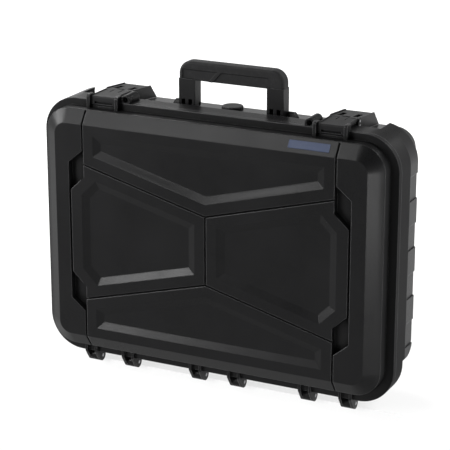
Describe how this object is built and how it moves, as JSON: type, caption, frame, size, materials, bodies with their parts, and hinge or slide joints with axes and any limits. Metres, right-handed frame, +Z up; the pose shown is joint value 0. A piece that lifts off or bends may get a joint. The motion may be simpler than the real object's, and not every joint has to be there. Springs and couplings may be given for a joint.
{
  "type": "hard carrying case",
  "caption": "Upright black plastic carrying case with a ribbed lid face, hinged lid, draw latches, padlock eyes, folding handle and purge valve.",
  "frame": {"origin": "on the ground under the middle of the standing case", "axes": "+X along the width to the lid face's right, +Y from the lid face to the back, +Z up to the handle"},
  "size_m": [0.55, 0.164, 0.4655],
  "materials": {
    "shell_plastic": "fine grain",
    "latch_plastic": "satin",
    "fitting_plastic": "satin",
    "grip_rubber": "soft matt",
    "seal_rubber": "matt",
    "pin_steel": "drawn"
  },
  "bodies": {
    "base": {"base_shell": "shell_plastic", "hinge_pin_1": "pin_steel", "hinge_pin_2": "pin_steel", "hinge_pin_3": "pin_steel", "hinge_pin_4": "pin_steel", "hinge_pin_5": "pin_steel", "hinge_pin_6": "pin_steel", "valve_body": "fitting_plastic", "valve_ring": "seal_rubber", "valve_nut": "fitting_plastic", "handle_pin_left": "pin_steel", "latch_lever_pin_left": "pin_steel", "base_padlock_eye_left": "shell_plastic", "handle_pin_right": "pin_steel", "latch_lever_pin_right": "pin_steel", "base_padlock_eye_right": "shell_plastic"},
    "lid": {"lid_shell": "shell_plastic", "lid_gasket": "seal_rubber", "lid_padlock_eye_left": "shell_plastic", "lid_padlock_eye_right": "shell_plastic"},
    "handle": {"handle_frame": "fitting_plastic", "handle_grip": "grip_rubber"},
    "valve_knob": {"valve_knob": "fitting_plastic"},
    "latch_lever_left": {"latch_lever_left": "latch_plastic", "latch_hook_pin_left": "pin_steel"},
    "latch_hook_left": {"latch_hook_left": "latch_plastic"},
    "latch_lever_right": {"latch_lever_right": "latch_plastic", "latch_hook_pin_right": "pin_steel"},
    "latch_hook_right": {"latch_hook_right": "latch_plastic"}
  },
  "joints": [
    {"name": "lid_hinge", "type": "hinge", "parent": "base", "child": "lid", "pos_m": [0, -0.038, 0.0085], "axis": [1, 0, 0], "range_deg": [0, 110]},
    {"name": "handle_fold", "type": "hinge", "parent": "base", "child": "handle", "pos_m": [0, 0.0135, 0.401], "axis": [-1, 0, 0], "range_deg": [0, 90]},
    {"name": "valve_turn", "type": "hinge", "parent": "base", "child": "valve_knob", "pos_m": [0, 0.006, 0.4067], "axis": [0, 0, 1], "range_deg": [0, 180]},
    {"name": "latch_left_pull", "type": "hinge", "parent": "base", "child": "latch_lever_left", "pos_m": [-0.176, -0.005, 0.4035], "axis": [1, 0, 0], "range_deg": [0, 75]},
    {"name": "latch_left_hook", "type": "hinge", "parent": "latch_lever_left", "child": "latch_hook_left", "pos_m": [-0.176, -0.005, 0.4095], "axis": [1, 0, 0], "range_deg": [-97.5, 0]},
    {"name": "latch_right_pull", "type": "hinge", "parent": "base", "child": "latch_lever_right", "pos_m": [0.176, -0.005, 0.4035], "axis": [1, 0, 0], "range_deg": [0, 75]},
    {"name": "latch_right_hook", "type": "hinge", "parent": "latch_lever_right", "child": "latch_hook_right", "pos_m": [0.176, -0.005, 0.4095], "axis": [1, 0, 0], "range_deg": [-97.5, 0]}
  ],
  "couplings": [
    {"joint": "latch_left_hook", "follows": "latch_left_pull", "ratio": -1.3},
    {"joint": "latch_right_hook", "follows": "latch_right_pull", "ratio": -1.3}
  ]
}
